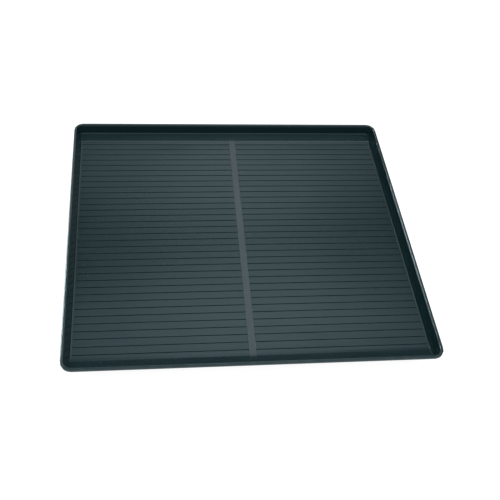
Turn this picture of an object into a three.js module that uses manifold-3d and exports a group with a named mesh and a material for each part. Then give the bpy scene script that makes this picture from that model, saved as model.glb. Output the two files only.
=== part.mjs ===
// Rigid seedling heat mat: a shallow grooved tray with a rolled rim, standing over a flat heated chamber.
// Millimetres, +Z up, +X to the right, +Y to the back. The origin is on the floor, under the middle of the tray.

import * as THREE from 'three';
import { mergeVertices } from 'three/addons/utils/BufferGeometryUtils.js';
import Module from 'manifold-3d';

const wasm = await Module();
wasm.setup();

// ---- driving dimensions -------------------------------------------------------------------------
const WIDTH = 600;            // over the rim, left to right
const DEPTH = 576;            // over the rim, front to back
const Z_RIM = 42;             // top of the rolled rim
const Z_FLOOR = 22;           // top of the tray floor
const Z_UNDER = 20;           // underside of the tray floor
const CORNER_R = 18;          // outer corner radius of the rim, in plan
const BEAD_R = 2.5;           // half width and height of the rolled bead
const BEAD_SHAPE = 0.6;       // 1 is a half circle, less flattens its top and sides
const LIP = 4.7;              // height of the rim's outer face
const GROOVES = 34;           // grooves in the floor
const PITCH = 15;             // from groove to groove
const GROOVE_TOP = 1.9;       // width of a groove at the floor
const GROOVE_BOTTOM = 1.0;    // width at its bottom
const GROOVE_DEPTH = 1.0;
const GROOVE_END = 283;       // grooves run out to here on each side
const STRIP = 11.2;           // width of the smooth strip down the middle
const STRIP_X = 1.4;          // its centre line crosses the middle of the tray here
const STRIP_LEAN = 0.02;      // and leans to the right towards the back
const BOSS_AT = [[-120, -210], [120, -210], [-120, 210], [120, 210], [-255, -243], [255, -243], [-255, 243], [255, 243]];
const BOSS_R = 4.5;
const PILOT_R = 1.75;         // screw hole in a boss
const PAN_X = 270;            // half width of the base cover
const PAN_Y = 258;            // half depth of the base cover
const PAN_R = 20;             // its corner radius
const PAN_WALL = 2.6;
const PAN_Z = 4.3;            // underside of the base cover
const PAN_IN = 6.3;           // its inner floor
const PAN_TOP = 18.2;         // top of its wall
const FOOT_AT = [[-230, -225], [0, -225], [230, -225], [-230, 225], [0, 225], [230, 225]];
const FOOT_R = 11;
const CABLE_R = 1.5;
const CABLE_Z = 17.4;         // centre line of the heating cable
const RUNS = 16;              // straight runs of the cable
const RUN_PITCH = 30;
const RUN_X = 235;            // the runs turn back here
const NOTCH = [-245, -135, 204]; // wiring pocket in foils and board: left, right and front edge
const FOIL_X = 262, FOIL_Y = 250;
const GLAND = [-200, 13.25];   // x and z of the cord entry, on the back wall of the base cover
const GAP = 0.3;              // clearance between pieces that touch

// ---- helpers ------------------------------------------------------------------------------------
// A clean closed mesh: positions only, shared vertices merged, flat triangles dropped, faces outwards.
function clean(geometry) {
  let g = geometry.clone();
  g.deleteAttribute('normal');
  g.deleteAttribute('uv');
  g = mergeVertices(g, 1e-4);
  const p = g.getAttribute('position');
  const from = g.getIndex().array;
  const index = [];
  for (let i = 0; i < from.length; i += 3) {
    const [a, b, c] = [from[i], from[i + 1], from[i + 2]];
    if (a !== b && b !== c && a !== c) index.push(a, b, c);
  }
  let volume = 0;
  const [A, B, C] = [new THREE.Vector3(), new THREE.Vector3(), new THREE.Vector3()];
  for (let i = 0; i < index.length; i += 3) {
    A.fromBufferAttribute(p, index[i]);
    B.fromBufferAttribute(p, index[i + 1]);
    C.fromBufferAttribute(p, index[i + 2]);
    volume += A.dot(B.clone().cross(C)) / 6;
  }
  if (volume < 0) for (let i = 0; i < index.length; i += 3) [index[i], index[i + 1]] = [index[i + 1], index[i]];
  const out = new THREE.BufferGeometry();
  out.setAttribute('position', p);
  out.setIndex(index);
  out.computeVertexNormals();
  return out;
}

function solid(geometry) {
  const g = clean(geometry);
  return new wasm.Manifold(new wasm.Mesh({
    numProp: 3,
    vertProperties: new Float32Array(g.getAttribute('position').array),
    triVerts: new Uint32Array(g.getIndex().array),
  }));
}

function shell(manifold) {
  const mesh = manifold.getMesh();
  const g = new THREE.BufferGeometry();
  g.setAttribute('position', new THREE.BufferAttribute(new Float32Array(mesh.vertProperties), 3));
  g.setIndex(new THREE.BufferAttribute(new Uint32Array(mesh.triVerts), 1));
  g.computeVertexNormals();
  return g;
}

// The outline of a rounded rectangle as a ring of points at one height.
function ring(hx, hy, r, z, n = 7) {
  const points = [];
  const corners = [[hx - r, hy - r, 0], [-hx + r, hy - r, 90], [-hx + r, -hy + r, 180], [hx - r, -hy + r, 270]];
  for (const [cx, cy, start] of corners) {
    for (let i = 0; i <= n; i++) {
      const a = THREE.MathUtils.degToRad(start + (90 * i) / n);
      points.push([cx + r * Math.cos(a), cy + r * Math.sin(a), z]);
    }
  }
  return points;
}

// A solid through a stack of rings. An open stack is capped at both ends; a closed one joins up like a ring.
function loft(rings, closed = false) {
  const n = rings[0].length;
  const position = [];
  const index = [];
  for (const points of rings) for (const p of points) position.push(...p);
  const spans = closed ? rings.length : rings.length - 1;
  for (let k = 0; k < spans; k++) {
    const a = k * n;
    const b = ((k + 1) % rings.length) * n;
    for (let i = 0; i < n; i++) {
      const j = (i + 1) % n;
      index.push(a + i, a + j, b + j, a + i, b + j, b + i);
    }
  }
  if (!closed) {
    const last = (rings.length - 1) * n;
    const first = position.length / 3;
    position.push(0, 0, rings[0][0][2], 0, 0, rings[rings.length - 1][0][2]);
    for (let i = 0; i < n; i++) {
      const j = (i + 1) % n;
      index.push(first, j, i, first + 1, last + i, last + j);
    }
  }
  const g = new THREE.BufferGeometry();
  g.setAttribute('position', new THREE.Float32BufferAttribute(position, 3));
  g.setIndex(index);
  return g;
}

function box(x0, x1, y0, y1, z0, z1) {
  return new THREE.BoxGeometry(x1 - x0, y1 - y0, z1 - z0).translate((x0 + x1) / 2, (y0 + y1) / 2, (z0 + z1) / 2);
}

// Cylinders along each axis, from one end to the other.
const rodZ = (x, y, r, z0, z1, n = 14) =>
  new THREE.CylinderGeometry(r, r, z1 - z0, n).rotateX(Math.PI / 2).translate(x, y, (z0 + z1) / 2);
const rodY = (x, z, r, y0, y1, n = 16, turn = 0) =>
  new THREE.CylinderGeometry(r, r, y1 - y0, n).rotateY(turn).translate(x, (y0 + y1) / 2, z);
const hexY = (x, z, flats, y0, y1) => rodY(x, z, flats / Math.sqrt(3), y0, y1, 6, Math.PI / 6);

// Turned pieces: [radius, height] pairs, about Z or about Y.
const turnZ = (profile, x, y, n = 16) =>
  new THREE.LatheGeometry(profile.map(([r, z]) => new THREE.Vector2(r, z)), n).rotateX(Math.PI / 2).translate(x, y, 0);
const turnY = (profile, x, z, n = 16) =>
  new THREE.LatheGeometry(profile.map(([r, y]) => new THREE.Vector2(r, y)), n).translate(x, 0, z);
const turnX = (profile, y, z, n = 12) =>
  new THREE.LatheGeometry(profile.map(([r, x]) => new THREE.Vector2(r, x)), n).rotateZ(-Math.PI / 2).translate(0, y, z);

function cut(base, tools) {
  let m = base;
  for (const tool of tools) m = m.subtract(tool);
  return m;
}

// A sheet or board with holes, and with the wiring pocket cut out of its back edge.
function sheet(hx, hy, r, z0, thickness, holes) {
  const [nl, nr, nf] = NOTCH;
  const s = new THREE.Shape();
  s.moveTo(-hx + r, -hy);
  s.lineTo(hx - r, -hy);
  s.absarc(hx - r, -hy + r, r, -Math.PI / 2, 0, false);
  s.lineTo(hx, hy - r);
  s.absarc(hx - r, hy - r, r, 0, Math.PI / 2, false);
  s.lineTo(nr, hy);
  s.lineTo(nr, nf);
  s.lineTo(nl, nf);
  s.lineTo(nl, hy);
  s.lineTo(-hx + r, hy);
  s.absarc(-hx + r, hy - r, r, Math.PI / 2, Math.PI, false);
  s.lineTo(-hx, -hy + r);
  s.absarc(-hx + r, -hy + r, r, Math.PI, Math.PI * 1.5, false);
  for (const [x, y, hr] of holes) {
    const h = new THREE.Path();
    h.absarc(x, y, hr, 0, Math.PI * 2, true);
    s.holes.push(h);
  }
  return new THREE.ExtrudeGeometry(s, { depth: thickness, bevelEnabled: false, curveSegments: 6 }).translate(0, 0, z0);
}

// A path given by its stations, so that straight runs take one step and bends take several.
class StationPath extends THREE.Curve {
  constructor(points, tangents) {
    super();
    this.points = points;
    this.tangents = tangents;
  }
  getPoint(t, target = new THREE.Vector3()) {
    const k = t * (this.points.length - 1);
    const i = Math.min(Math.floor(k + 1e-9), this.points.length - 2);
    return target.copy(this.points[i]).lerp(this.points[i + 1], k - i);
  }
  getPointAt(u, target) { return this.getPoint(u, target); }
  getTangentAt(u, target = new THREE.Vector3()) {
    return target.copy(this.tangents[Math.round(u * (this.points.length - 1))]);
  }
  getTangent(t, target) { return this.getTangentAt(t, target); }
}

function circle(r, sides) {
  const s = new THREE.Shape();
  for (let i = 0; i < sides; i++) {
    const a = ((i + 0.5) / sides) * Math.PI * 2;
    if (i === 0) s.moveTo(r * Math.cos(a), r * Math.sin(a));
    else s.lineTo(r * Math.cos(a), r * Math.sin(a));
  }
  s.closePath();
  return s;
}

function wire(points, r = 0.8, steps = 10) {
  const path = new THREE.CatmullRomCurve3(points.map((p) => new THREE.Vector3(...p)), false, 'centripetal');
  return new THREE.ExtrudeGeometry(circle(r, 8), { steps, extrudePath: path, bevelEnabled: false });
}

// ---- materials ----------------------------------------------------------------------------------
const finish = (color, roughness, metalness = 0) => () => new THREE.MeshStandardMaterial({ color, roughness, metalness });
const trayPlastic = finish(0x2b3a3d, 0.34);
const basePlastic = finish(0x1d2325, 0.6);
const foil = finish(0xb9bdc0, 0.35, 1);
const jacket = finish(0x8e2f22, 0.6);
const potting = finish(0x22252a, 0.55);
const foam = finish(0xd8d8cf, 0.95);
const rubber = finish(0x17191a, 0.85);
const steel = finish(0xa9adb0, 0.35, 1);
const brass = finish(0xb08d4a, 0.35, 1);
const nylon = finish(0x2a2c2e, 0.55);
const ceramicWhite = finish(0xe6e2d8, 0.5);
const brown = finish(0x6b3a1c, 0.5);
const blue = finish(0x24508c, 0.5);
const green = finish(0x6f9a2d, 0.5);

const mat = new THREE.Group();
mat.name = 'seedling_heat_mat';
function add(name, geometry, material) {
  const mesh = new THREE.Mesh(clean(geometry), material());
  mesh.name = name;
  mat.add(mesh);
}

// ---- tray shell ---------------------------------------------------------------------------------
// One section is carried round the whole tray. Each station is [inset, height], or [inset at the sides, inset at
// the front and back, height]: the floor turns up gently before the front and back walls, and sharply at the sides.
{
  const beadZ = Z_RIM - BEAD_R;
  const bead = [];
  for (let i = 0; i <= 8; i++) {
    const a = (Math.PI * i) / 8;
    const [c, t] = [Math.cos(a), Math.sin(a)];
    bead.push([BEAD_R * (1 + Math.sign(c) * Math.abs(c) ** BEAD_SHAPE), beadZ + BEAD_R * t ** BEAD_SHAPE]);
  }
  const lipZ = Z_RIM - LIP;
  const section = [
    [14.4, 36, Z_FLOOR], [13.65, 33.3, 22.08], [12.9, 31.3, 22.25], [12.2, 28, 22.72], [11.8, 26.5, 23.0],
    [11.1, 19.9, 24.2], [10.59, 12.8, 25.5], [10.4, 11.5, 25.97], [10.05, 10.45, 26.86], [9.6, 28.0], [5.8, 37.6], [5.2, 38.6],
    ...bead,
    [0, lipZ + 0.3], [0.3, lipZ], [1.3, lipZ], [1.6, lipZ + 0.3],
    [1.7, 38.8], [3.2, 38.8], [3.6, 37.5], [8.24, 25.6], [8.9, 9.9, 23.9], [9.3, 13, 22.9], [9.8, 17.5, 22.0],
    [11.2, 24.5, 20.6], [13.2, 27.5, Z_UNDER],
  ];
  const station = (p) => {
    const [sx, sy, z] = p.length === 3 ? p : [p[0], p[0], p[1]];
    return ring(WIDTH / 2 - sx, DEPTH / 2 - sy, Math.max(CORNER_R - sx, 2), z);
  };
  let tray = solid(loft(section.map(station)));

  // A short lip under the floor that locates the base cover.
  const lipRing = (d, z) => ring(PAN_X + d, PAN_Y + d, PAN_R + d, z, 6);
  tray = tray.add(solid(loft([lipRing(0.6, 17), lipRing(2.2, 17), lipRing(2.2, 20.6), lipRing(0.6, 20.6)], true)));
  tray = tray.subtract(solid(box(GLAND[0] - 9, GLAND[0] + 9, PAN_Y + 0.3, PAN_Y + 3, 16, Z_UNDER)));

  // Screw bosses, each with a blind pilot hole.
  for (const [x, y] of BOSS_AT) {
    tray = tray.add(solid(rodZ(x, y, BOSS_R, PAN_IN + 0.5, 20.6, 16)));
    tray = tray.subtract(solid(rodZ(x, y, PILOT_R, PAN_IN, 17.2, 10)));
  }

  // Grooves, each in two halves with the smooth strip between them.
  const half = new THREE.Shape();
  const flare = ((GROOVE_TOP - GROOVE_BOTTOM) / 2) * (0.5 / GROOVE_DEPTH);
  half.moveTo(-GROOVE_TOP / 2 - flare, 0.5);
  half.lineTo(-GROOVE_BOTTOM / 2, -GROOVE_DEPTH);
  half.lineTo(GROOVE_BOTTOM / 2, -GROOVE_DEPTH);
  half.lineTo(GROOVE_TOP / 2 + flare, 0.5);
  half.closePath();
  const basis = new THREE.Matrix4().makeBasis(new THREE.Vector3(0, 1, 0), new THREE.Vector3(0, 0, 1), new THREE.Vector3(1, 0, 0));
  for (let i = 0; i < GROOVES; i++) {
    const y = (i - (GROOVES - 1) / 2) * PITCH;
    const middle = STRIP_X + STRIP_LEAN * y;
    for (const [x0, x1] of [[-GROOVE_END, middle - STRIP / 2], [middle + STRIP / 2, GROOVE_END]]) {
      const bar = new THREE.ExtrudeGeometry(half, { depth: x1 - x0, bevelEnabled: false });
      tray = tray.subtract(solid(bar.applyMatrix4(basis).translate(x0, y, Z_FLOOR)));
    }
  }
  add('tray_shell', shell(tray), trayPlastic);
}

// ---- heater pack: foils, cable, board -----------------------------------------------------------
const bossHoles = (r) => BOSS_AT.map(([x, y]) => [x, y, r]);
const RIVET = [-253.5, 215];
add('heat_spreader_foil', sheet(FOIL_X, FOIL_Y, 5, 19.2, 0.5, bossHoles(5.2)), foil);
add('backing_foil', sheet(FOIL_X, FOIL_Y, 5, 15.2, 0.4, [...bossHoles(5.2), [...RIVET, 1.6]]), foil);

{
  // The runs go to and fro along X, from the back to the front, with half-round turns between them.
  const points = [];
  const tangents = [];
  const put = (x, y, tx, ty) => {
    points.push(new THREE.Vector3(x, y, CABLE_Z));
    tangents.push(new THREE.Vector3(tx, ty, 0).normalize());
  };
  const yTop = ((RUNS - 1) / 2) * RUN_PITCH;
  for (let k = 0; k < RUNS; k++) {
    const y = yTop - k * RUN_PITCH;
    const dir = k % 2 === 0 ? 1 : -1;
    const x0 = k === 0 ? NOTCH[1] - 1.7 : -dir * RUN_X;
    put(x0, y, dir, 0);
    put(dir * RUN_X, y, dir, 0);
    if (k < RUNS - 1) {
      const r = RUN_PITCH / 2;
      for (let i = 1; i < 7; i++) {
        const a = (Math.PI * i) / 7;
        put(dir * (RUN_X + r * Math.sin(a)), y - r + r * Math.cos(a), dir * Math.cos(a), -Math.sin(a));
      }
    }
  }
  const path = new StationPath(points, tangents);
  add('heating_cable', new THREE.ExtrudeGeometry(circle(CABLE_R, 8), { steps: points.length - 1, extrudePath: path, bevelEnabled: false }), jacket);
  add('cable_end_cap', turnX([[0, -RUN_X - 12], [1.0, -RUN_X - 11.4], [1.5, -RUN_X - 10], [1.5, -RUN_X - 0.3], [0, -RUN_X - 0.3]], -yTop, CABLE_Z), potting);
  add('cold_joint', turnX([[0, -150], [1.9, -150], [2.05, -149.4], [2.05, -138.2], [1.6, -137], [0, -137]], yTop, CABLE_Z), potting);
}

{
  let board = solid(sheet(265.2, 253.2, 15, 6.6, 8.3, bossHoles(5.4)));
  const pockets = FOOT_AT.map(([x, y]) => solid(rodZ(x, y, 5.2, 6, 10, 12)));
  pockets.push(solid(rodZ(...RIVET, 3.2, 13.0, 16, 10)));
  board = cut(board, pockets);
  add('insulation_board', shell(board), foam);
}

// ---- base cover, seal, screws and feet ----------------------------------------------------------
{
  const at = (s, z) => ring(PAN_X - s, PAN_Y - s, PAN_R - s, z, 6);
  let pan = solid(loft([
    at(3.2, PAN_Z), at(1.0, 4.9), at(0, 7.0), at(0, PAN_TOP), at(PAN_WALL, PAN_TOP), at(PAN_WALL, 6.9), at(3.2, PAN_IN),
  ]));
  // Two ribs that hold the terminal block.
  pan = pan.add(solid(box(-217.2, -215.4, 224, 238, 5.5, 10)));
  pan = pan.add(solid(box(-184.6, -182.8, 224, 238, 5.5, 10)));
  const holes = [
    ...BOSS_AT.map(([x, y]) => solid(rodZ(x, y, 1.8, 3, 8, 12))),
    ...FOOT_AT.map(([x, y]) => solid(rodZ(x, y, 3.4, 3, 8, 12))),
    solid(rodY(GLAND[0], GLAND[1], 5.4, 250, 262, 16)),
  ];
  add('base_cover', shell(cut(pan, holes)), basePlastic);
  const seal = (d, z) => ring(PAN_X - d, PAN_Y - d, PAN_R - d, z, 6);
  add('perimeter_seal', loft([seal(2.3, PAN_TOP + GAP), seal(0.3, PAN_TOP + GAP), seal(0.3, Z_UNDER - GAP), seal(2.3, Z_UNDER - GAP)], true), rubber);
}

BOSS_AT.forEach(([x, y], i) => {
  const body = solid(turnZ([[0, 1.9], [2.0, 1.95], [3.0, 2.4], [3.5, 3.2], [3.5, 4.0], [1.35, 4.0], [1.35, 14.4], [0, 15.6]], x, y, 14));
  const recess = [solid(box(x - 1.9, x + 1.9, y - 0.45, y + 0.45, 1, 3)), solid(box(x - 0.45, x + 0.45, y - 1.9, y + 1.9, 1, 3))];
  add(`cover_screw_${i + 1}`, shell(cut(body, recess)), steel);
});

FOOT_AT.forEach(([x, y], i) => {
  add(`foot_${i + 1}`, turnZ([
    [0, 0], [FOOT_R - 1.2, 0], [FOOT_R, 1.2], [FOOT_R - 0.5, 4.0],
    [3, 4.0], [3, 6.6], [4.3, 6.7], [2.6, 9.3], [0, 9.3],
  ], x, y, 16), rubber);
});

// ---- cord entry ---------------------------------------------------------------------------------
{
  const [gx, gz] = GLAND;
  const face = PAN_Y;
  const ringY = (r0, r1, y0, y1, n = 16) => turnY([[r0, y0], [r1, y0], [r1, y1], [r0, y1], [r0, y0]], gx, gz, n);
  add('gland_washer', ringY(5.5, 6.4, face + 0.3, face + 1.3), rubber);
  let body = solid(hexY(gx, gz, 12.4, face + 1.6, face + 5.6));
  body = body.add(solid(rodY(gx, gz, 5.0, face - 7.5, face + 1.7)));
  body = body.add(solid(rodY(gx, gz, 5.2, face + 5.5, face + 12)));
  body = body.subtract(solid(rodY(gx, gz, 3.7, face - 8, face + 13)));
  body = body.subtract(solid(rodY(gx, gz, 4.4, face + 4, face + 13)));
  add('gland_body', shell(body), nylon);
  add('gland_seal', ringY(3.25, 4.05, face + 4.4, face + 13.2), rubber);
  let nut = solid(hexY(gx, gz, 12.4, face + 5.9, face + 11.5));
  nut = nut.add(solid(turnY([[0, face + 11], [6.0, face + 11], [6.0, face + 13], [5.3, face + 15.8], [4.3, face + 17], [0, face + 17]], gx, gz, 20)));
  nut = nut.subtract(solid(rodY(gx, gz, 5.55, face + 5, face + 12.4)));
  nut = nut.subtract(solid(turnY([[0, face + 12.3], [5.0, face + 12.3], [3.4, face + 15.5], [3.4, face + 18], [0, face + 18]], gx, gz, 16)));
  add('gland_nut', shell(nut), nylon);
  let lock = solid(hexY(gx, gz, 12.4, face - 6.2, face - 2.9));
  lock = lock.subtract(solid(rodY(gx, gz, 5.35, face - 7, face - 2)));
  add('gland_locknut', shell(lock), nylon);
}

// ---- wiring pocket ------------------------------------------------------------------------------
{
  const poles = [['earth', -210], ['neutral', -200], ['live', -190]];
  const wireZ = 11;
  const screwY = [226.5, 235.5];
  let block = solid(box(-215, -185, 222, 240, 6.6, 16.4));
  for (const [, x] of poles) {
    block = block.subtract(solid(rodY(x, wireZ, 2.7, 221, 241, 12)));
    for (const y of screwY) block = block.subtract(solid(rodZ(x, y, 1.6, wireZ, 17, 10)));
  }
  add('terminal_block', shell(block), ceramicWhite);
  let n = 1;
  for (const [name, x] of poles) {
    let sleeve = solid(turnY([[1.4, 223], [2.3, 223], [2.3, 239], [1.4, 239], [1.4, 223]], x, wireZ, 12));
    for (const y of screwY) sleeve = sleeve.subtract(solid(rodZ(x, y, 1.5, wireZ, 15, 10)));
    add(`terminal_sleeve_${name}`, shell(sleeve), brass);
    for (const y of screwY) {
      let screw = solid(rodZ(x, y, 1.15, 12.3, 15.9, 10));
      screw = screw.subtract(solid(box(x - 2, x + 2, y - 0.25, y + 0.25, 15.2, 17)));
      add(`terminal_screw_${n++}`, shell(screw), steel);
    }
  }

  const cutout = new THREE.Shape();
  cutout.moveTo(-8.4, -2.2);
  cutout.lineTo(-7.4, -3.2);
  cutout.lineTo(7.4, -3.2);
  cutout.lineTo(8.4, -2.2);
  cutout.lineTo(8.4, 2.2);
  cutout.lineTo(7.4, 3.2);
  cutout.lineTo(-7.4, 3.2);
  cutout.lineTo(-8.4, 2.2);
  cutout.closePath();
  add('thermal_cutout', new THREE.ExtrudeGeometry(cutout, { depth: 2.4, bevelEnabled: true, bevelThickness: 0.4, bevelSize: 0.4, bevelOffset: -0.4, bevelSegments: 1 }).translate(-172, 213, 16.5), steel);

  add('tail_live_a', wire([[-190, 225, wireZ], [-190, 219, wireZ], [-188, 214.2, 12.6], [-184.5, 213, 16.3], [-180.7, 213, 17.7]]), brown);
  add('tail_live_b', wire([[-163.3, 213, 17.7], [-159.4, 213.6, 17.7], [-155, 219, 17.5], [-153, 223.2, 17.4], [-150.3, 223.8, CABLE_Z]]), brown);
  add('tail_neutral', wire([[-200, 225, wireZ], [-200, 218, wireZ], [-197, 210, 10], [-185, 207.6, 9.5], [-165, 207.6, 9.5],
    [-157, 212, 10.6], [-155, 221, 13], [-153.6, 226, 16.4], [-150.3, 226.2, CABLE_Z]], 0.8, 16), blue);

  // Earth lug, rivet and lead.
  const [rx, ry] = RIVET;
  let lug = solid(rodZ(rx, ry, 3.5, 15.9, 16.4, 16));
  lug = lug.add(solid(box(rx, -246, ry - 1.5, ry + 1.5, 15.9, 16.4)));
  lug = lug.add(solid(turnX([[0, -248], [1.2, -248], [1.2, -243.2], [0, -243.2]], ry, 17.05, 10)));
  lug = lug.subtract(solid(rodZ(rx, ry, 1.55, 15, 17, 12)));
  add('earth_lug', shell(lug), steel);
  add('earth_rivet', turnZ([[0, 13.8], [2.2, 13.8], [2.2, 14.9], [1.2, 14.9], [1.2, 16.7], [2.5, 16.7], [2.2, 17.3], [1.2, 17.7], [0, 17.7]], rx, ry, 14), steel);
  add('earth_lead', wire([[-242.8, ry, 17.05], [-238, ry, 16.4], [-226, 213, 12.6], [-214, 213.2, 11.2], [-210.4, 217, wireZ], [-210, 220.5, wireZ], [-210, 225, wireZ]], 0.8, 12), green);
}

export default mat;
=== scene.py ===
import math

import bmesh
import bpy
import numpy as np
from mathutils import Matrix, Vector


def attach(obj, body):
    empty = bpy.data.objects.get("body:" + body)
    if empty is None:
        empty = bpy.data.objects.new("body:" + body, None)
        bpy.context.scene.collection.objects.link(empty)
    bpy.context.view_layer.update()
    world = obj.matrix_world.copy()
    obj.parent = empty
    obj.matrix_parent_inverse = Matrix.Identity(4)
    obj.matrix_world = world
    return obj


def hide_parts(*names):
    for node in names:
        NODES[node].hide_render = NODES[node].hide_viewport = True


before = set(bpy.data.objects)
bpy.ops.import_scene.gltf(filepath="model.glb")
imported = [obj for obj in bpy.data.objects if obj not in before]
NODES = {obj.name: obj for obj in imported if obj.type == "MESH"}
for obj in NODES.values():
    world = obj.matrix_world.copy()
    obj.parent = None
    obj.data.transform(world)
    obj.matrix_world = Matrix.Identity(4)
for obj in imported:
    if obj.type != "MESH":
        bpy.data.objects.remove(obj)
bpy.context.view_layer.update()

SCENE = bpy.context.scene
MM = 0.001

# ---- the tray's driving sizes, in millimetres, as in the CAD model ------------------------------
WIDTH, DEPTH = 600.0, 576.0
Z_RIM, Z_FLOOR, Z_UNDER = 42.0, 22.0, 20.0
CORNER_R, BEAD_R, BEAD_SHAPE, LIP = 18.0, 2.5, 0.6, 4.7
GROOVES, PITCH, GROOVE_END = 34, 15.0, 284.4
STRIP, STRIP_X, STRIP_LEAN = 11.2, 1.4, 0.02
BOSS_AT = [(-120, -210), (120, -210), (-120, 210), (120, 210), (-255, -243), (255, -243), (-255, 243), (255, 243)]
FOOT_AT = [(-230, -225), (0, -225), (230, -225), (-230, 225), (0, 225), (230, 225)]
PAN_X, PAN_Y, PAN_R = 270.0, 258.0, 20.0
GLAND = (-200.0, 13.25)


# ---- small node helpers -------------------------------------------------------------------------
class Tree:
    """Builds a node tree: each call adds a node, sets its inputs (values or sockets) and returns an output."""

    def __init__(self, tree):
        self.t = tree
        tree.nodes.clear()

    def add(self, kind, out=0, props=None, **inputs):
        n = self.t.nodes.new(kind)
        for k, v in (props or {}).items():
            setattr(n, k, v)
        for k, v in inputs.items():
            key = int(k[1:]) if k[0] == "i" and k[1:].isdigit() else k.replace("_", " ")
            s = n.inputs[key]
            if isinstance(v, bpy.types.NodeSocket):
                self.t.links.new(v, s)
            else:
                s.default_value = v
        return n.outputs[out] if n.outputs else n

    def math(self, op, a, b=0.0, c=0.0, clamp=False):
        return self.add("ShaderNodeMath", props={"operation": op, "use_clamp": clamp}, i0=a, i1=b, i2=c)

    def vmath(self, op, a, b=(0, 0, 0), out=0):
        return self.add("ShaderNodeVectorMath", out=out, props={"operation": op}, i0=a, i1=b)

    def noise(self, co, scale, detail=3.0, rough=0.55, out=0, dim="3D"):
        return self.add("ShaderNodeTexNoise", out=out, props={"noise_dimensions": dim}, Vector=co, Scale=scale, Detail=detail, Roughness=rough)

    def voronoi(self, co, scale, feature="F1", rand=1.0):
        return self.add("ShaderNodeTexVoronoi", props={"feature": feature}, Vector=co, Scale=scale, Randomness=rand)

    def remap(self, x, a, b, c, d, smooth=False):
        n = self.t.nodes.new("ShaderNodeMapRange")
        n.interpolation_type = "SMOOTHSTEP" if smooth else "LINEAR"
        n.clamp = True
        self.t.links.new(x, n.inputs[0])
        for i, v in enumerate((a, b, c, d)):
            n.inputs[i + 1].default_value = v
        return n.outputs[0]

    def mix(self, fac, a, b, blend="MIX"):
        n = self.t.nodes.new("ShaderNodeMix")
        n.data_type = "RGBA"
        n.blend_type = blend
        for s, v in ((n.inputs[0], fac), (n.inputs[6], a), (n.inputs[7], b)):
            if isinstance(v, bpy.types.NodeSocket):
                self.t.links.new(v, s)
            elif s.type == "RGBA" and len(v) == 3:
                s.default_value = (*v, 1.0)
            else:
                s.default_value = v
        return n.outputs[2]

    def coords(self, stretch=(1, 1, 1)):
        co = self.add("ShaderNodeTexCoord", out=3)
        if stretch == (1, 1, 1):
            return co
        return self.add("ShaderNodeMapping", Vector=co, Scale=stretch)

    def xyz(self, co):
        n = self.t.nodes.new("ShaderNodeSeparateXYZ")
        self.t.links.new(co, n.inputs[0])
        return n.outputs[0], n.outputs[1], n.outputs[2]

    def bump(self, height, strength, distance, normal=None):
        n = self.t.nodes.new("ShaderNodeBump")
        n.inputs["Strength"].default_value = strength
        n.inputs["Distance"].default_value = distance
        self.t.links.new(height, n.inputs["Height"])
        if normal is not None:
            self.t.links.new(normal, n.inputs["Normal"])
        return n.outputs[0]


def lin(r, g, b):
    """An sRGB colour given as 0 to 255, in linear light."""
    f = lambda c: c / 12.92 if c <= 0.04045 else ((c + 0.055) / 1.055) ** 2.4
    return tuple(f(c / 255.0) for c in (r, g, b))


def material(name):
    m = bpy.data.materials.new(name)
    m.use_nodes = True
    t = Tree(m.node_tree)
    p = m.node_tree.nodes.new("ShaderNodeBsdfPrincipled")
    o = m.node_tree.nodes.new("ShaderNodeOutputMaterial")
    m.node_tree.links.new(p.outputs[0], o.inputs[0])
    return m, t, p


def wire_up(t, p, **links):
    for k, v in links.items():
        key = k.replace("_", " ")
        if isinstance(v, bpy.types.NodeSocket):
            t.t.links.new(v, p.inputs[key])
        elif isinstance(v, tuple) and len(v) == 3 and p.inputs[key].type == "RGBA":
            p.inputs[key].default_value = (*v, 1.0)
        else:
            p.inputs[key].default_value = v


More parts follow.
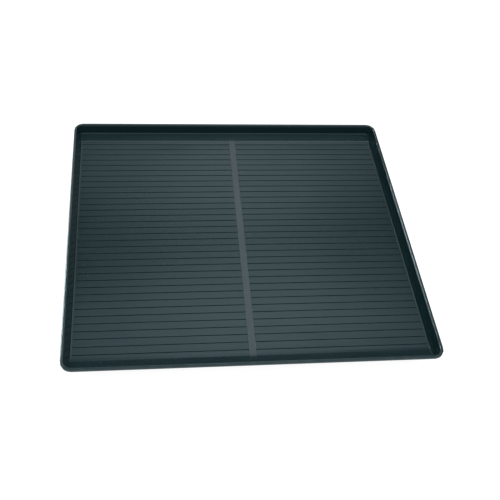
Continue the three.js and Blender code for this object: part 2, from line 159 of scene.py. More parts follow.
# ---- materials ----------------------------------------------------------------------------------
def tray_plastic():
    """Glossy, very dark blue-green polypropylene, smoother on the lands and more matt on the centre strip."""
    m, t, p = material("tray_plastic")
    co = t.coords()
    x, y, z = t.xyz(co)
    cloud = t.noise(co, 5.0, 3.0, 0.5)
    fine = t.noise(co, 160.0, 4.0, 0.6)
    grain = t.noise(co, 1400.0, 2.0, 0.6)
    flow = t.noise(t.coords((0.5, 6.0, 1.0)), 26.0, 3.0, 0.6)
    base = t.mix(t.remap(cloud, 0.32, 0.7, 0, 1), (0.0050, 0.0176, 0.0208), (0.0062, 0.0200, 0.0236))
    base = t.mix(t.remap(fine, 0.55, 0.8, 0, 0.5), base, (0.0085, 0.0240, 0.0280))
    # the centre strip: a band along Y on the floor, a little paler and much more matt
    ax = t.math("ABSOLUTE", t.math("SUBTRACT", x, t.math("MULTIPLY_ADD", y, STRIP_LEAN, STRIP_X * MM)))
    ay = t.math("ABSOLUTE", y)
    strip = t.math("MULTIPLY", t.remap(ax, 0.0052, 0.0060, 1, 0, True), t.remap(ay, 0.2520, 0.2640, 1, 0, True))
    strip = t.math("MULTIPLY", strip, t.remap(z, 0.0195, 0.0205, 0, 1))
    strip = t.math("MULTIPLY", strip, t.remap(z, 0.0232, 0.0240, 1, 0))
    base = t.mix(strip, base, (0.0465, 0.0605, 0.0690))
    # pale rub marks and dust: a thin film on the rim's top, and specks
    rim = t.remap(z, 0.0403, 0.0415, 0, 1, True)
    rub = t.math("MULTIPLY", rim, t.remap(t.noise(co, 45.0, 5.0, 0.65), 0.40, 0.75, 0.0, 0.45))
    base = t.mix(rub, base, (0.05, 0.066, 0.07))
    # painted highlight: the outer edges of the rim at the back and the left are painted paler, standing in for the
    # studio light they reflect
    painted_edge_highlight = t.math("MAXIMUM", t.remap(y, 0.2815, 0.2826, 0.0, 0.75, True), t.remap(x, -0.2955, -0.2944, 0.35, 0.0, True))
    painted_edge_highlight = t.math("MULTIPLY", t.math("MULTIPLY", painted_edge_highlight, t.remap(z, 0.0374, 0.0384, 0, 1, True)), t.remap(cloud, 0.3, 0.7, 0.8, 1.1))
    base = t.mix(painted_edge_highlight, base, (0.030, 0.050, 0.055))
    speck = t.remap(t.voronoi(co, 140.0), 0.035, 0.06, 1.0, 0.0)
    some = t.remap(t.noise(co, 24.0, 2.0, 0.5), 0.60, 0.68, 0.0, 0.35)
    base = t.mix(t.math("MULTIPLY", speck, some), base, (0.09, 0.105, 0.105))
    rough = t.remap(cloud, 0.3, 0.7, 0.155, 0.185)
    rough = t.math("ADD", rough, t.remap(flow, 0.3, 0.75, -0.012, 0.022))
    rough = t.math("ADD", rough, t.math("MULTIPLY", rub, 0.12))
    rough = t.math("ADD", rough, t.math("MULTIPLY", t.remap(z, 0.0365, 0.0385, 0, 1, True), -0.05))
    rough = t.math("ADD", rough, t.math("MULTIPLY", strip, 0.33))
    under = t.remap(z, 0.0203, 0.0209, 1, 0)
    rough = t.math("ADD", rough, t.math("MULTIPLY", under, 0.2))
    n1 = t.bump(t.math("ADD", t.math("MULTIPLY", grain, 0.7), t.math("MULTIPLY", fine, 0.3)), 0.10, 0.0002)
    n2 = t.bump(flow, 0.06, 0.0006, n1)
    # painted shade: the reflection on the right edge's outer flank is turned down so that the flank reads dark
    specular_level_with_painted_shade = t.remap(x, 0.2956, 0.2974, 0.5, 0.12, True)
    wire_up(t, p, Base_Color=base, Roughness=rough, Normal=n2, IOR=1.5, Specular_IOR_Level=specular_level_with_painted_shade)
    p.inputs["Specular Tint"].default_value = (0.70, 0.94, 1.0, 1.0)
    return m


def moulded(name, dark, light, rough=(0.5, 0.62), grain_scale=1500.0, bump=0.25, wear=None):
    """A spark-eroded moulded plastic or rubber: fine grain, slow colour change and dust."""
    m, t, p = material(name)
    co = t.coords()
    cloud = t.noise(co, 14.0, 4.0, 0.55)
    grain = t.noise(co, grain_scale, 2.0, 0.7)
    cells = t.voronoi(co, grain_scale * 0.6)
    base = t.mix(t.remap(cloud, 0.3, 0.7, 0, 1), dark, light)
    base = t.mix(t.remap(t.noise(co, 300.0, 5.0, 0.7), 0.62, 0.85, 0, 0.5), base, wear or tuple(min(1, c * 1.8) for c in light))
    r = t.math("ADD", t.remap(cloud, 0.25, 0.75, rough[0], rough[1]), t.remap(grain, 0.3, 0.7, -0.03, 0.03))
    n = t.bump(t.math("ADD", t.math("MULTIPLY", grain, 0.6), t.math("MULTIPLY", cells, 0.5)), bump, 0.0002)
    wire_up(t, p, Base_Color=base, Roughness=r, Normal=n, IOR=1.48)
    return m


def metal(name, a, b, rough=(0.28, 0.42), brushed=(1, 1, 1), scale=400.0, bump=0.12):
    m, t, p = material(name)
    co = t.coords()
    lines = t.noise(t.coords(brushed), scale, 4.0, 0.6)
    spots = t.noise(co, 60.0, 4.0, 0.6)
    base = t.mix(t.remap(spots, 0.3, 0.7, 0, 1), a, b)
    base = t.mix(t.remap(lines, 0.4, 0.8, 0, 0.35), base, tuple(c * 0.72 for c in a))
    r = t.math("ADD", t.remap(lines, 0.3, 0.7, rough[0], rough[1]), t.remap(spots, 0.5, 0.8, 0, 0.08))
    wire_up(t, p, Base_Color=base, Roughness=r, Normal=t.bump(lines, bump, 0.0001), Metallic=1.0)
    return m


def foil_sheet():
    """Thin rolled aluminium sheet: rolling lines, creases and soft dents."""
    m, t, p = material("foil_sheet")
    co = t.coords()
    roll = t.noise(t.coords((1.0, 60.0, 1.0)), 40.0, 4.0, 0.6)
    dents = t.noise(co, 22.0, 3.0, 0.5)
    crease = t.voronoi(co, 16.0, "DISTANCE_TO_EDGE")
    base = t.mix(t.remap(roll, 0.3, 0.7, 0, 1), (0.72, 0.73, 0.74), (0.82, 0.83, 0.84))
    r = t.remap(roll, 0.3, 0.7, 0.24, 0.38)
    n = t.bump(dents, 0.35, 0.002)
    n = t.bump(t.remap(crease, 0.0, 0.03, 0, 1), 0.25, 0.0006, n)
    n = t.bump(roll, 0.1, 0.0001, n)
    wire_up(t, p, Base_Color=base, Roughness=r, Normal=n, Metallic=1.0)
    return m


def foam_board():
    m, t, p = material("foam_board")
    co = t.coords()
    bead = t.voronoi(co, 260.0)
    edge = t.voronoi(co, 260.0, "DISTANCE_TO_EDGE")
    tone = t.noise(co, 9.0, 3.0, 0.5)
    base = t.mix(t.remap(tone, 0.3, 0.7, 0, 1), (0.74, 0.74, 0.69), (0.82, 0.82, 0.78))
    base = t.mix(t.remap(edge, 0.0, 0.12, 0.4, 0.0), base, (0.55, 0.55, 0.5))
    n = t.bump(t.math("MULTIPLY", bead, -1.0), 0.5, 0.0012)
    wire_up(t, p, Base_Color=base, Roughness=t.remap(bead, 0.0, 0.6, 0.85, 0.97), Normal=n, IOR=1.45)
    return m


def ceramic():
    m, t, p = material("ceramic_white")
    co = t.coords()
    fine = t.noise(co, 900.0, 3.0, 0.6)
    tone = t.noise(co, 90.0, 4.0, 0.6)
    base = t.mix(t.remap(tone, 0.3, 0.7, 0, 1), (0.74, 0.71, 0.64), (0.80, 0.78, 0.72))
    base = t.mix(t.remap(fine, 0.66, 0.8, 0, 0.6), base, (0.45, 0.40, 0.33))
    wire_up(t, p, Base_Color=base, Roughness=t.remap(fine, 0.3, 0.7, 0.38, 0.55), Normal=t.bump(fine, 0.2, 0.0001), IOR=1.55)
    return m


MATS = {
    "tray": tray_plastic(),
    "base": moulded("base_plastic", lin(30, 35, 37), lin(38, 44, 46), (0.46, 0.58), 1300.0, 0.3, lin(70, 76, 78)),
    "rubber": moulded("rubber_black", lin(24, 25, 26), lin(33, 34, 35), (0.72, 0.86), 1800.0, 0.35, lin(62, 62, 60)),
    "nylon": moulded("nylon_black", lin(33, 36, 37), lin(42, 45, 46), (0.40, 0.52), 2200.0, 0.15),
    "potting": moulded("potting", lin(32, 34, 40), lin(40, 43, 50), (0.35, 0.5), 1200.0, 0.2),
    "jacket": moulded("cable_jacket", lin(128, 40, 30), lin(148, 50, 36), (0.5, 0.6), 1500.0, 0.2, lin(180, 90, 70)),
    "brown": moulded("wire_brown", lin(98, 52, 26), lin(112, 62, 32), (0.38, 0.48), 1600.0, 0.12),
    "blue": moulded("wire_blue", lin(34, 76, 136), lin(42, 88, 150), (0.38, 0.48), 1600.0, 0.12),
    "green": moulded("wire_green", lin(96, 140, 40), lin(150, 165, 44), (0.38, 0.48), 1600.0, 0.12),
    "steel": metal("steel_plated", (0.56, 0.57, 0.58), (0.66, 0.66, 0.65), (0.24, 0.36), (1, 1, 1), 500.0),
    "brass": metal("brass", (0.56, 0.40, 0.17), (0.64, 0.47, 0.22), (0.26, 0.4), (1, 1, 1), 600.0),
    "foil": foil_sheet(),
    "foam": foam_board(),
    "ceramic": ceramic(),
}

# ---- mesh helpers -------------------------------------------------------------------------------
def make(name, verts, faces, mat, smooth=True, sharp=None):
    me = bpy.data.meshes.new(name)
    me.from_pydata([tuple(v) for v in verts], [], [tuple(int(i) for i in f) for f in faces])
    me.validate()
    me.update()
    ob = bpy.data.objects.new(name, me)
    SCENE.collection.objects.link(ob)
    ob.data.materials.append(mat)
    if smooth:
        me.polygons.foreach_set("use_smooth", [True] * len(me.polygons))
        if sharp:
            me.set_sharp_from_angle(angle=math.radians(sharp))
    return ob


def finish_piece(ob, node, body="root"):
    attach(ob, body)
    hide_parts(node)
    return ob


# ---- the tray -----------------------------------------------------------------------------------
def smooth01(t):
    t = np.clip(t, 0.0, 1.0)
    return t * t * (3 - 2 * t)


GROOVE_Y = np.array([(i - (GROOVES - 1) / 2) * PITCH for i in range(GROOVES)])


def strip_at(y):
    return STRIP_X + STRIP_LEAN * y


def floor_height(x, y):
    """Height of the tray floor above Z_FLOOR: rounded grooves with round ends, faint sinks over the bosses, slow warp."""
    h = np.zeros_like(x)
    near = GROOVE_Y[np.clip(np.rint(y / PITCH + (GROOVES - 1) / 2).astype(int), 0, GROOVES - 1)]
    dy = np.abs(y - near)
    ax = np.abs(x)
    over = np.maximum(0, np.maximum(STRIP / 2 + 0.9 - np.abs(x - strip_at(y)), ax - (GROOVE_END - 0.9)))
    d = np.hypot(dy, over)
    h -= 1.0 * smooth01((0.98 - d) / 0.55)
    for bx, by in BOSS_AT[:4]:
        r = np.hypot(x - bx, y - by)
        h -= 0.045 * np.exp(-(r / 5.5) ** 2)
    fade = smooth01((285.0 - ax) / 40.0) * smooth01((251.5 - np.abs(y)) / 30.0)
    wave = (
        0.08 * np.sin(x / 47.0 + 0.6) * np.sin(y / 61.0 + 1.1)
        + 0.05 * np.sin(y / 29.0 + 0.4 + x / 240.0)
        + 0.04 * np.sin(x / 23.0 - y / 190.0 + 2.0)
    )
    crown = 0.8 * (1 - (x / 286.0) ** 2) * (1 - (y / 252.0) ** 2) + 0.5 * np.exp(-(x / 170.0) ** 2 - ((y + 60.0) / 110.0) ** 2)
    return h + wave * fade + crown * smooth01((252.0 - np.abs(y)) / 12.0)


def stations_x():
    s = set(np.linspace(-277.6, 277.6, 33).round(3))
    for c, sign in ((GROOVE_END, -1), (STRIP / 2, 1)):
        for o in (-0.5, 0.0, 0.25, 0.5, 0.8, 1.2, 2.2):
            s |= {round(c + sign * o, 3), round(-(c + sign * o), 3)}
    for bx in (-120, 120):
        s |= {round(bx + o, 3) for o in (-10, -7, -4.5, -2, 0, 2, 4.5, 7, 10)}
    s |= {-285.6, 285.6, -284.4, 284.4, -279.8, 279.8, 0.0}
    return np.array(sorted(s))


def stations_y():
    s = set()
    for g in GROOVE_Y:
        s |= {round(g + o, 3) for o in (-1.3, -0.98, -0.8, -0.62, -0.43, 0, 0.43, 0.62, 0.8, 0.98, 1.3)}
    for a, b in zip(GROOVE_Y[:-1], GROOVE_Y[1:]):
        s |= {round(a + PITCH * f, 3) for f in (0.3, 0.5, 0.7)}
    s |= {-252.0, -250.4, 250.4, 252.0}
    return np.array(sorted(s))


def boundary(xs, ys):
    """Grid indices round the edge, counter-clockwise from the front left corner."""
    nx, ny = len(xs), len(ys)
    loop = [(i, 0) for i in range(nx)]
    loop += [(nx - 1, j) for j in range(1, ny)]
    loop += [(i, ny - 1) for i in range(nx - 2, -1, -1)]
    loop += [(0, j) for j in range(ny - 2, 0, -1)]
    return loop


def ring_point(gx, gy, fx, fy, cz, hx, hy, r):
    """Carries a point on the floor's edge rectangle (half sizes fx, fy) to the ring of half sizes hx, hy and corner radius r."""
    on_x = abs(abs(gy) - fy) < 1e-6          # front or back edge
    if on_x:
        u, f, h_along, h_across, g = abs(gx), fx, hx, hy, gy
    else:
        u, f, h_along, h_across, g = abs(gy), fy, hy, hx, gx
    su = math.copysign(1.0, gx if on_x else gy)
    sg = math.copysign(1.0, g)
    start = f - cz
    if u <= start:
        along, across = u, h_across
        if on_x:
            pass
        along = u * 1.0
    else:
        straight = h_along - r - start
        total = straight + r * math.pi / 4
        d = (u - start) / cz * total
        if d <= straight:
            along, across = start + d, h_across
        else:
            a = (d - straight) / r
            along = h_along - r + r * math.sin(a)
            across = h_across - r + r * math.cos(a)
    if on_x:
        return su * along, sg * across
    return sg * across, su * along


def tray():
    xs, ys = stations_x(), stations_y()
    nx, ny = len(xs), len(ys)
    fx, fy = xs[-1], ys[-1]
    X, Y = np.meshgrid(xs, ys, indexing="ij")
    X = X + smooth01((240.0 - np.abs(X)) / 200.0) * strip_at(Y)
    Z = Z_FLOOR + floor_height(X, Y)
    verts = np.stack([X, Y, Z], -1).reshape(-1, 3)
    index = lambda i, j: i * ny + j
    faces = []
    for i in range(nx - 1):
        for j in range(ny - 1):
            faces.append((index(i, j), index(i + 1, j), index(i + 1, j + 1), index(i, j + 1)))
    loop = boundary(xs, ys)
    ids = [index(i, j) for i, j in loop]
    base = [(X[i, j], ys[j]) for i, j in loop]
    n = len(loop)
    beadz = Z_RIM - BEAD_R
    # stations of the section: inset at the sides, inset at the front and back, height
    section = [
        (13.6, 36.0, 22.0), (13.57, 34.6, 22.02), (13.53, 33.3, 22.08), (13.49, 32.3, 22.155), (13.43, 31.3, 22.25), (13.29, 29.7, 22.45),
        (13.1, 28.0, 22.72), (12.91, 26.5, 23.0), (12.52, 23.3, 23.58), (12.09, 19.9, 24.2), (11.64, 16.3, 24.86), (11.3, 13.6, 25.35),
        (11.09, 11.9, 25.66), (10.97, 10.95, 25.84), (10.91, 10.68, 25.93), (10.8, 10.5, 26.08), (10.58, 10.32, 26.4), (10.27, 10.08, 26.86), (9.9, 9.84, 27.4),
    ]
    rest = [(9.6 + (5.95 - 9.6) * k, 28.0 + (37.2 - 28.0) * k) for k in (0.0, 0.33, 0.67, 1.0)]
    rest += [(5.6, 38.1), (5.2, 38.9)]
    for a in np.linspace(0, math.pi, 25):
        c, t = math.cos(a), max(math.sin(a), 0.0)
        rest.append((BEAD_R * (1 + math.copysign(abs(c) ** BEAD_SHAPE, c)), beadz + BEAD_R * t ** BEAD_SHAPE))
    rest += [(0.0, 38.4), (0.0, 37.65), (0.08, 37.42), (0.3, 37.3), (0.75, 37.3), (1.2, 37.3), (1.5, 37.45), (1.6, 37.7), (1.62, 38.4), (1.75, 38.75), (2.1, 38.95),
             (2.8, 38.95), (3.25, 38.75), (3.45, 38.3), (3.65, 37.6), (5.0, 34.2), (6.3, 30.8), (7.6, 27.4)]
    section += [(a, a, z) for a, z in rest]
    section += [(8.24, 8.24, 25.6), (8.55, 8.9, 24.7), (8.9, 9.9, 23.9), (9.1, 11.2, 23.35), (9.3, 13.0, 22.9), (9.8, 17.5, 22.0), (10.8, 22.5, 21.0), (11.9, 25.6, 20.3), (13.2, 27.5, 20.0), (16.0, 30.0, 20.0)]
    cz = 8.0
    co = list(map(tuple, verts))
    rings = []
    for k, (sx, sy, z) in enumerate(section):
        hx, hy, r = WIDTH / 2 - sx, DEPTH / 2 - sy, max(CORNER_R - sx, 2.0)
        if k < 20:                        # a tight crease in the valley between the upturned floor and the side walls
            r = 0.7 + (r - 0.7) * min(max((z - 25.7) / 3.5, 0.0), 1.0)
        ring = []
        for b, (gx, gy) in zip(ids, base):
            px, py = ring_point(gx, gy, fx, fy, cz, hx, hy, r)
            if k < 20 and px < -200:          # the left wall stands a little steeper than the right one
                px -= 1.1 * min((-200 - px) / 70, 1.0) * max(28.0 - z, 0.0) / 6.0
            if k == 0:
                co[b] = (px, py, z)
                ring.append(b)
            else:
                ring.append(len(co))
                co.append((px, py, z))
        rings.append(ring)
    co = np.array(co)
    for a, b in zip(rings[:-1], rings[1:]):
        for i in range(n):
            j = (i + 1) % n
            faces.append((a[i], b[i], b[j], a[j]))
    faces.append(tuple(reversed(rings[-1])))
    ob = make("tray", co * MM, faces, MATS["tray"], True, 40)
    return ob


def solid_loft(name, rings, mat, closed=False, sharp=35):
    """A closed solid through rings of equal length; open stacks are capped with flat faces."""
    n = len(rings[0])
    co = [p for r in rings for p in r]
    faces = []
    spans = len(rings) if closed else len(rings) - 1
    for k in range(spans):
        a, b = k * n, ((k + 1) % len(rings)) * n
        for i in range(n):
            j = (i + 1) % n
            faces.append((a + i, a + j, b + j, b + i))
    if not closed:
        faces.append(tuple(reversed(range(n))))
        last = (len(rings) - 1) * n
        faces.append(tuple(last + i for i in range(n)))
    return make(name, np.array(co) * MM, faces, mat, True, sharp)


def rounded(hx, hy, r, z, n=10):
    out = []
    for cx, cy, start in ((hx - r, hy - r, 0), (-hx + r, hy - r, 90), (-hx + r, -hy + r, 180), (hx - r, -hy + r, 270)):
        for i in range(n + 1):
            a = math.radians(start + 90 * i / n)
            out.append((cx + r * math.cos(a), cy + r * math.sin(a), z))
    return out


def lathe(profile, at, axis="Z", n=40):
    """Rings of a turned piece; profile is [(radius, height)], at is the place of the axis."""
    rings = []
    for r, h in profile:
        ring = []
        for i in range(n):
            a = 2 * math.pi * i / n
            c, s = r * math.cos(a), r * math.sin(a)
            ring.append({"Z": (at[0] + c, at[1] + s, h), "Y": (at[0] + s, h, at[1] + c), "X": (h, at[0] + c, at[1] + s)}[axis])
        rings.append(ring)
    return rings


def tidy(ob, sharp=35):
    """Outward normals, no stray geometry, and smooth shading with sharp creases kept."""
    bm = bmesh.new()
    bm.from_mesh(ob.data)
    bmesh.ops.remove_doubles(bm, verts=bm.verts, dist=2e-6)
    bmesh.ops.dissolve_degenerate(bm, edges=bm.edges, dist=1e-6)
    bmesh.ops.recalc_face_normals(bm, faces=bm.faces)
    bm.to_mesh(ob.data)
    bm.free()
    ob.data.polygons.foreach_set("use_smooth", [True] * len(ob.data.polygons))
    ob.data.set_sharp_from_angle(angle=math.radians(sharp))
    return ob


def join(parts):
    """One mesh from several closed shells; the first one keeps its name."""
    first = parts[0]
    bm = bmesh.new()
    for o in parts:
        bm.from_mesh(o.data)
    bm.to_mesh(first.data)
    bm.free()
    for o in parts[1:]:
        bpy.data.objects.remove(o)
    return first


def carve(ob, cutters, op="DIFFERENCE"):
    """Exact boolean of a piece with its cutters, which are then removed."""
    for c in cutters:
        m = ob.modifiers.new("b", "BOOLEAN")
        m.operation, m.solver, m.object = op, "EXACT", c
    dg = bpy.context.evaluated_depsgraph_get()
    me = bpy.data.meshes.new_from_object(ob.evaluated_get(dg))
    ob.modifiers.clear()
    ob.data = me
    for c in cutters:
        bpy.data.objects.remove(c)
    return ob


def block(x0, x1, y0, y1, z0, z1, mat):
    return solid_loft("tmp", [[(x0, y0, z), (x1, y0, z), (x1, y1, z), (x0, y1, z)] for z in (z0, z1)], mat)


def turned(name, profile, at, axis, mat, n=40, closed=False):
    return solid_loft(name, lathe(profile, at, axis, n), mat, closed)


def hexagon(name, y0, y1, mat, c=0.35, af=12.4):
    """A hexagon along Y with small chamfers round both faces and rounded corners."""
    gx, gz = GLAND
    rings = []
    for y, d in ((y0, c), (y0 + c * 0.4, c * 0.3), (y0 + c, 0.0), (y1 - c, 0.0), (y1 - c * 0.4, c * 0.3), (y1, c)):
        ring = []
        for k in range(6):
            for da in (-4.0, -1.5, 1.5, 4.0):
                ang = math.radians(60 * k + 30 + da)
                flat = (af / 2) / math.cos(math.radians(30 - abs(da)))
                r = min(flat, af / 2 / math.cos(math.radians(30)) * 0.985) - d
                ring.append((gx + r * math.sin(ang), y, gz + r * math.cos(ang)))
        rings.append(ring)
    return solid_loft(name, rings, mat)


def tray_underside():
    """The locating lip round the heating chamber, open at the cord entry, and the eight hollow screw bosses."""
    mat = MATS["tray"]
    section = [(0.6, 20.6), (0.6, 17.3), (0.68, 17.1), (0.88, 17.0), (1.92, 17.0), (2.12, 17.1), (2.2, 17.3), (2.2, 20.6)]
    paths = []
    for d, z in section:
        pts = rounded(PAN_X + d, PAN_Y + d, PAN_R + d, z)
        pts = pts[11:] + pts[:11]
        paths.append([(GLAND[0] - 9, PAN_Y + d, z)] + pts + [(GLAND[0] + 9, PAN_Y + d, z)])
    rings = [[p[i] for p in paths] for i in range(len(paths[0]))]
    out = [tidy(solid_loft("lip", rings, mat))]
    for x, y in BOSS_AT:
        prof = [(1.75, 17.2), (1.75, 7.3), (1.95, 6.95), (2.2, 6.8), (4.2, 6.8), (4.42, 6.9), (4.5, 7.1), (4.5, 20.6)]
        out.append(tidy(turned("boss", prof, (x, y), "Z", mat, 36)))
    return out


def base_cover():
    mat = MATS["base"]
    prof = [(3.2, 4.3), (2.3, 4.42), (1.6, 4.62), (1.0, 4.95), (0.55, 5.4), (0.22, 6.0), (0.05, 6.6), (0.0, 7.1), (0.0, 17.95), (0.08, 18.12), (0.25, 18.2),
            (2.35, 18.2), (2.52, 18.12), (2.6, 17.95), (2.6, 7.1), (2.68, 6.7), (2.9, 6.42), (3.3, 6.3)]
    pan = solid_loft("base_cover", [rounded(PAN_X - i, PAN_Y - i, PAN_R - i, z, 14) for i, z in prof], mat)
    ribs = [block(-217.2, -215.4, 224, 238, 5.5, 10, mat), block(-184.6, -182.8, 224, 238, 5.5, 10, mat)]
    pan = carve(pan, ribs, "UNION")
    cuts = [turned("c", [(1.8, 3.0), (1.8, 8.0)], (x, y), "Z", mat, 32) for x, y in BOSS_AT]
    cuts += [turned("c", [(3.4, 3.0), (3.4, 8.0)], (x, y), "Z", mat, 40) for x, y in FOOT_AT]
    cuts += [tidy(turned("c", [(5.4, 250.0), (5.4, 262.0)], GLAND, "Y", mat, 40))]
    return tidy(carve(pan, cuts))


def cover_screw(i, x, y):
    mat = MATS["steel"]
    prof = [(0.6, 1.9), (1.4, 1.92), (2.0, 1.98), (2.5, 2.14), (3.0, 2.42), (3.3, 2.75), (3.5, 3.2), (3.5, 3.9), (3.4, 4.0), (1.35, 4.0)]
    z = 5.0
    while z < 14.2:                       # a rolled thread, drawn as close ridges
        prof += [(1.34, z), (1.06, z + 0.22), (1.06, z + 0.34), (1.34, z + 0.56)]
        z += 0.9
    prof += [(1.3, 14.4), (0.9, 14.9), (0.2, 15.55)]
    body = turned("cover_screw_%d" % i, prof, (x, y), "Z", mat, 32)
    cuts = [block(x - 1.9, x + 1.9, y - 0.45, y + 0.45, 1, 3, mat), block(x - 0.45, x + 0.45, y - 1.9, y + 1.9, 1, 3, mat)]
    return tidy(carve(body, cuts))


def foot(i, x, y):
    prof = [(0.5, 0.0), (4.0, 0.0), (4.3, 0.25), (4.9, 0.25), (5.2, 0.0), (9.5, 0.0), (10.1, 0.18), (10.6, 0.55), (10.9, 1.0), (11.0, 1.4),
            (10.72, 3.0), (10.55, 3.8), (10.35, 4.0), (3.15, 4.0), (3.0, 4.15), (3.0, 6.45), (3.15, 6.6), (4.15, 6.68), (4.28, 6.8), (4.2, 7.0), (2.75, 9.15), (2.5, 9.3), (0.5, 9.3)]
    return tidy(turned("foot_%d" % i, prof, (x, y), "Z", MATS["rubber"], 56))


def gland():
    gx, gz = GLAND
    f = PAN_Y
    nylon, rubber = MATS["nylon"], MATS["rubber"]
    tube = lambda name, pts, mat, n=40: tidy(turned(name, [(r, f + h) for r, h in pts], GLAND, "Y", mat, n, True))
    out = [("gland_washer", "rubber_black", tube("gland_washer", [(5.5, 0.3), (6.25, 0.3), (6.4, 0.45), (6.4, 1.15), (6.25, 1.3), (5.5, 1.3)], rubber))]
    out.append(("gland_seal", "rubber_black", tube("gland_seal", [(3.35, 4.4), (3.95, 4.4), (4.05, 4.55), (4.05, 13.05), (3.95, 13.2), (3.35, 13.2), (3.25, 13.05), (3.25, 4.55)], rubber)))
    rear = [(4.75, -7.5)]
    y = -7.2
    while y < 0.6:
        rear += [(5.0, y), (4.72, y + 0.35), (4.72, y + 0.5), (5.0, y + 0.85)]
        y += 1.2
    rear += [(5.0, 1.8)]
    body = hexagon("gland_body", f + 1.6, f + 5.6, nylon)
    tidy(body)
    back = tidy(turned("t", [(r, f + h) for r, h in rear], GLAND, "Y", nylon, 40))
    front = [(5.2, 5.4)]
    y = 6.2
    while y < 11.0:
        front += [(5.2, y), (4.95, y + 0.3), (4.95, y + 0.4), (5.2, y + 0.7)]
        y += 1.0
    front += [(5.2, 11.8), (5.05, 12.0)]
    head = tidy(turned("t", [(r, f + h) for r, h in front], GLAND, "Y", nylon, 40))
    body = carve(body, [back, head], "UNION")
    body = carve(body, [tidy(turned("c", [(3.7, f - 8), (3.7, f + 13)], GLAND, "Y", nylon, 40)), tidy(turned("c", [(4.4, f + 4), (4.4, f + 13)], GLAND, "Y", nylon, 40))])
    out.append(("gland_body", "nylon_black", tidy(body)))
    nut = tidy(hexagon("gland_nut", f + 5.9, f + 11.5, nylon))
    dome = tidy(turned("t", [(r, f + h) for r, h in ((6.0, 11.0), (6.0, 13.0), (5.92, 13.8), (5.7, 14.7), (5.35, 15.6), (4.9, 16.45), (4.55, 16.85), (4.2, 17.0))], GLAND, "Y", nylon, 48))
    nut = carve(nut, [dome], "UNION")
    nut = carve(nut, [tidy(turned("c", [(5.55, f + 5), (5.55, f + 12.4)], GLAND, "Y", nylon, 40)),
                      tidy(turned("c", [(5.0, f + 12.3), (3.4, f + 15.5), (3.4, f + 18)], GLAND, "Y", nylon, 40))])
    out.append(("gland_nut", "nylon_black", tidy(nut)))
    lock = tidy(hexagon("gland_locknut", f - 6.2, f - 2.9, nylon))
    lock = carve(lock, [tidy(turned("c", [(5.35, f - 7), (5.35, f - 2)], GLAND, "Y", nylon, 40))])
    out.append(("gland_locknut", "nylon_black", tidy(lock)))
    return out


TRAY = join([tray()] + tray_underside())
TRAY.data.set_sharp_from_angle(angle=math.radians(40))

# ---- camera -------------------------------------------------------------------------------------
cam = bpy.data.cameras.new("camera")
cam_ob = bpy.data.objects.new("camera", cam)
SCENE.collection.objects.link(cam_ob)
cam.lens = 58.995
cam.shift_x, cam.shift_y = -0.00697, 0.00531
cam.sensor_width = 36.0
cam.clip_start, cam.clip_end = 0.05, 60.0
view = Matrix((
    (0.99051297, 0.01711999, -0.13634868, -0.17674310),
    (-0.10389610, 0.74270954, -0.66150444, -0.99187286),
    (0.08994251, 0.66939483, 0.73744213, 1.08188932),
    (0, 0, 0, 1),
))
cam_ob.matrix_world = view
SCENE.camera = cam_ob

# ---- studio -------------------------------------------------------------------------------------
floor_me = bpy.data.meshes.new("floor")
R = 14.0
floor_me.from_pydata([(-R, -R, 0), (R, -R, 0), (R, R, 0), (-R, R, 0)], [], [(0, 1, 2, 3)])
floor = bpy.data.objects.new("floor", floor_me)
SCENE.collection.objects.link(floor)
fm, ft, fp = material("studio_floor")
wire_up(ft, fp, Base_Color=(0.30, 0.30, 0.30), Roughness=0.9)
fp.inputs["Specular IOR Level"].default_value = 0.0
fp.inputs["Emission Color"].default_value = (1, 1, 1, 1)
fp.inputs["Emission Strength"].default_value = 0.90
floor.data.materials.append(fm)

world = bpy.data.worlds.new("studio")
SCENE.world = world
world.use_nodes = True
world.cycles.sampling_method = "NONE"
w = Tree(world.node_tree)


def float_curve(t, x, points, lo, hi, top):
    """A smooth curve through (x, y) points, x from lo to hi and y from 0 to top."""
    n = t.t.nodes.new("ShaderNodeFloatCurve")
    c = n.mapping.curves[0]
    pts = [((a - lo) / (hi - lo), b / top) for a, b in points]
    while len(c.points) > 2:
        c.points.remove(c.points[1])
    c.points[0].location, c.points[1].location = pts[0], pts[-1]
    for q in pts[1:-1]:
        c.points.new(*q)
    n.mapping.update()
    t.t.links.new(t.remap(x, lo, hi, 0, 1), n.inputs["Value"])
    return t.math("MULTIPLY", n.outputs[0], top)


direction = w.vmath("NORMALIZE", w.add("ShaderNodeTexCoord", out=0))
dx, dy, dz = w.xyz(direction)
up = w.math("MAXIMUM", dz, 0.02)
u = w.math("DIVIDE", dx, up)
v = w.math("DIVIDE", dy, up)
# a long overhead softbox, seen in the tray's floor: bright along its middle, with a dimmer join across it
S = float_curve(w, v, [(0.2, 0.0), (0.55, 0.0), (0.585, 0.0), (0.615, 0.2), (0.65, 1.70), (0.70, 2.42), (0.76, 1.56), (0.82, 1.62), (0.865, 1.66), (0.90, 0.60), (0.93, 0.27), (0.96, 0.76), (1.0, 1.63),
                       (1.10, 1.44), (1.14, 1.72), (1.18, 2.20), (1.22, 1.35), (1.28, 0.40), (1.34, 0.08), (1.40, 0.02), (2.2, 0.0)], 0.2, 2.2, 3.0)
K1 = float_curve(w, v, [(0.2, 2), (0.70, 2.2), (0.78, 0.2), (0.85, 0.1), (0.93, 1.4), (1.0, 1.1), (1.08, 0.9), (1.16, 4.6), (2.2, 4.6)], 0.2, 2.2, 6.0)
K2 = float_curve(w, v, [(0.2, 12), (0.71, 12), (0.77, 15), (0.81, 27), (0.84, 47), (0.88, 62), (0.93, 94), (0.97, 70), (1.02, 41), (1.09, 14), (1.16, 2), (2.2, 0)], 0.2, 2.2, 100.0)
off = w.math("ABSOLUTE", w.math("SUBTRACT", u, 0.168))
off = w.math("MINIMUM", off, 1.2)
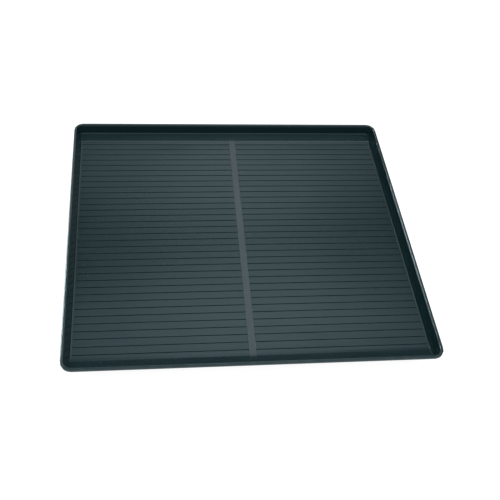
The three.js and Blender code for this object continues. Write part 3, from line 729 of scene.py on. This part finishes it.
fall = w.math("ADD", w.math("MULTIPLY", w.math("POWER", off, 1.3), w.math("MAXIMUM", K1, 0.0)), w.math("MULTIPLY", w.math("POWER", off, 2.7), w.math("MAXIMUM", K2, 4.0)))
soft = w.math("MULTIPLY", S, w.math("EXPONENT", w.math("MULTIPLY", fall, -1.0)))
soft = w.math("MAXIMUM", w.math("MULTIPLY", soft, w.remap(dy, 0.0, 0.1, 0, 1)), 0.0)
# a small lamp at the back left, which catches the left edge of the rim
lamp = w.vmath("DISTANCE", direction, tuple(Vector((-0.461, 0.630, 0.625)).normalized()), out=1)
spot = w.remap(lamp, 0.05, 0.13, 60.0, 0.0, True)
# a pale wing to the left of the softbox, seen only in the rim
wing = w.math("MULTIPLY", w.remap(u, -0.70, -0.55, 0.0, 1.0, True), w.remap(u, -0.34, -0.22, 1.0, 0.0, True))
wing = w.math("MULTIPLY", wing, w.math("MULTIPLY", w.remap(v, 0.45, 0.60, 0.0, 3.0, True), w.remap(v, 1.30, 1.50, 1.0, 0.0, True)))
wing = w.math("MULTIPLY", wing, w.remap(dz, 0.3, 0.4, 0.0, 1.0, True))
# a broad window at the right, a white backdrop low behind the tray, and a dark room behind the camera
window = w.remap(w.vmath("DISTANCE", direction, (0.62, 0.62, 0.48), out=1), 0.10, 0.30, 1.15, 0.0, True)
room = w.math("MULTIPLY", w.remap(dz, 0.37, 0.47, 1.1, 0.0, True), w.remap(dy, 0.0, 0.5, 0.0, 1.0, True))
room = w.math("MULTIPLY", room, w.math("MULTIPLY", w.remap(dx, -0.5, -0.2, 0.0, 1.0, True), w.remap(dx, 0.32, 0.50, 1.0, 0.0, True)))
# the ceiling over and in front of the tray, seen only in the rim's rounded flanks
ceiling = w.math("MULTIPLY", w.remap(v, 0.22, 0.42, 1.35, 0.0, True), w.remap(dz, 0.25, 0.5, 0.0, 1.0, True))
room = w.math("MAXIMUM", w.math("MAXIMUM", w.math("MAXIMUM", room, wing), w.math("MAXIMUM", window, ceiling)), 0.02)
glossy = w.math("ADD", w.math("MAXIMUM", soft, room), spot)
overhead = w.remap(dz, 0.15, 0.75, 0.12, 1.30, True)
path = w.t.nodes.new("ShaderNodeLightPath")
level = w.add("ShaderNodeMix", props={"data_type": "FLOAT"}, i0=path.outputs["Is Glossy Ray"], i2=overhead, i3=glossy)
# beyond the sheet's edge the studio is as pale as the sheet itself
level = w.add("ShaderNodeMix", props={"data_type": "FLOAT"}, i0=path.outputs["Is Camera Ray"], i2=level, i3=1.0)
bg = w.t.nodes.new("ShaderNodeBackground")
w.t.links.new(level, bg.inputs["Strength"])
bg.inputs["Color"].default_value = (1, 1, 1, 1)
wo = w.t.nodes.new("ShaderNodeOutputWorld")
w.t.links.new(bg.outputs[0], wo.inputs[0])

SCENE.view_settings.view_transform = "Standard"
SCENE.view_settings.look = "None"
SCENE.view_settings.exposure = 0.0
SCENE.view_settings.gamma = 1.0

# ---- pieces -------------------------------------------------------------------------------------
finish_piece(TRAY, "tray_shell")
finish_piece(base_cover(), "base_cover")
for i, (x, y) in enumerate(BOSS_AT):
    finish_piece(cover_screw(i + 1, x, y), "cover_screw_%d" % (i + 1))
for i, (x, y) in enumerate(FOOT_AT):
    finish_piece(foot(i + 1, x, y), "foot_%d" % (i + 1))
for node, slot_name, ob in gland():
    finish_piece(ob, node)

FINISH = {
    "heat_spreader_foil": "foil", "backing_foil": "foil", "heating_cable": "jacket", "cable_end_cap": "potting",
    "cold_joint": "potting", "insulation_board": "foam", "base_cover": "base", "perimeter_seal": "rubber",
    "gland_washer": "rubber", "gland_body": "nylon", "gland_seal": "rubber", "gland_nut": "nylon", "gland_locknut": "nylon",
    "terminal_block": "ceramic", "thermal_cutout": "steel", "tail_live_a": "brown", "tail_live_b": "brown",
    "tail_neutral": "blue", "earth_lug": "steel", "earth_rivet": "steel", "earth_lead": "green",
}
for name, ob in NODES.items():
    key = FINISH.get(name)
    if key is None:
        key = next((k for p, k in (("cover_screw", "steel"), ("foot", "rubber"), ("terminal_sleeve", "brass"), ("terminal_screw", "steel")) if name.startswith(p)), None)
    if key:
        ob.data.materials.clear()
        ob.data.materials.append(MATS[key])

bpy.context.view_layer.update()
